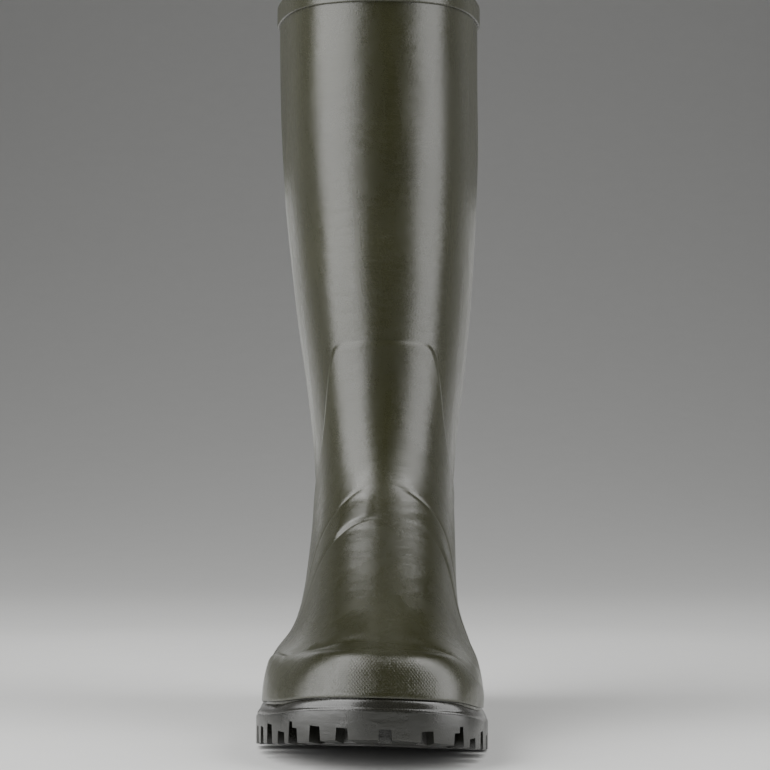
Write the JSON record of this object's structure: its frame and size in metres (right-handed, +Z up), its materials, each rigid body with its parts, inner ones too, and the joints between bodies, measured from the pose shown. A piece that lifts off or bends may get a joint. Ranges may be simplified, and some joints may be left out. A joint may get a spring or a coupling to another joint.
{
  "type": "rubber hunting boot",
  "caption": "Tall olive green rubber hunting boot for the right foot, with a thick toe cap, a raised instep band, a shin guard and a lugged sole with a heel.",
  "frame": {"origin": "on the floor, under the middle of the boot's box", "axes": "+Z up to the collar, -Y out through the toe, +X towards the inner side of the foot"},
  "size_m": [0.1138, 0.3034, 0.3805],
  "materials": {
    "upper_rubber": "satin",
    "sole_rubber": "matte",
    "footbed": "matte"
  },
  "bodies": {
    "root": {"outsole": "sole_rubber", "insole": "footbed", "upper": "upper_rubber", "top_band": "upper_rubber", "shin_guard": "upper_rubber", "instep_band": "upper_rubber", "vamp": "upper_rubber", "toe_cap": "upper_rubber", "rand": "sole_rubber"}
  },
  "joints": []
}
